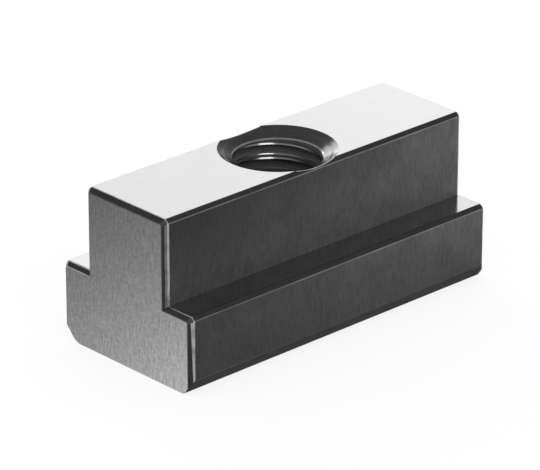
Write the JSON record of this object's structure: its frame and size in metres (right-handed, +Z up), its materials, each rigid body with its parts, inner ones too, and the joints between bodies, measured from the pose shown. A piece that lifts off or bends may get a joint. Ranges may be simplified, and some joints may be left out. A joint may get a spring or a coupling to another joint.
{
  "type": "t slot nut",
  "caption": "Extended T-slot nut for a machine table: a T-shaped steel bar with a countersunk, tapped hole through its middle, chamfered edges and a black oxide finish",
  "frame": {"origin": "middle of the underside of the base, where the thread's axis meets it", "axes": "+X along the bar and the slot it slides in, +Y across the bar, +Z up along the thread, out of its countersunk mouth"},
  "size_m": [0.06, 0.028, 0.0258],
  "materials": {
    "black_oxide_steel": "black oxide over ground and sawn steel, oiled, satin"
  },
  "bodies": {
    "root": {"t_slot_nut": "black_oxide_steel"}
  },
  "joints": []
}
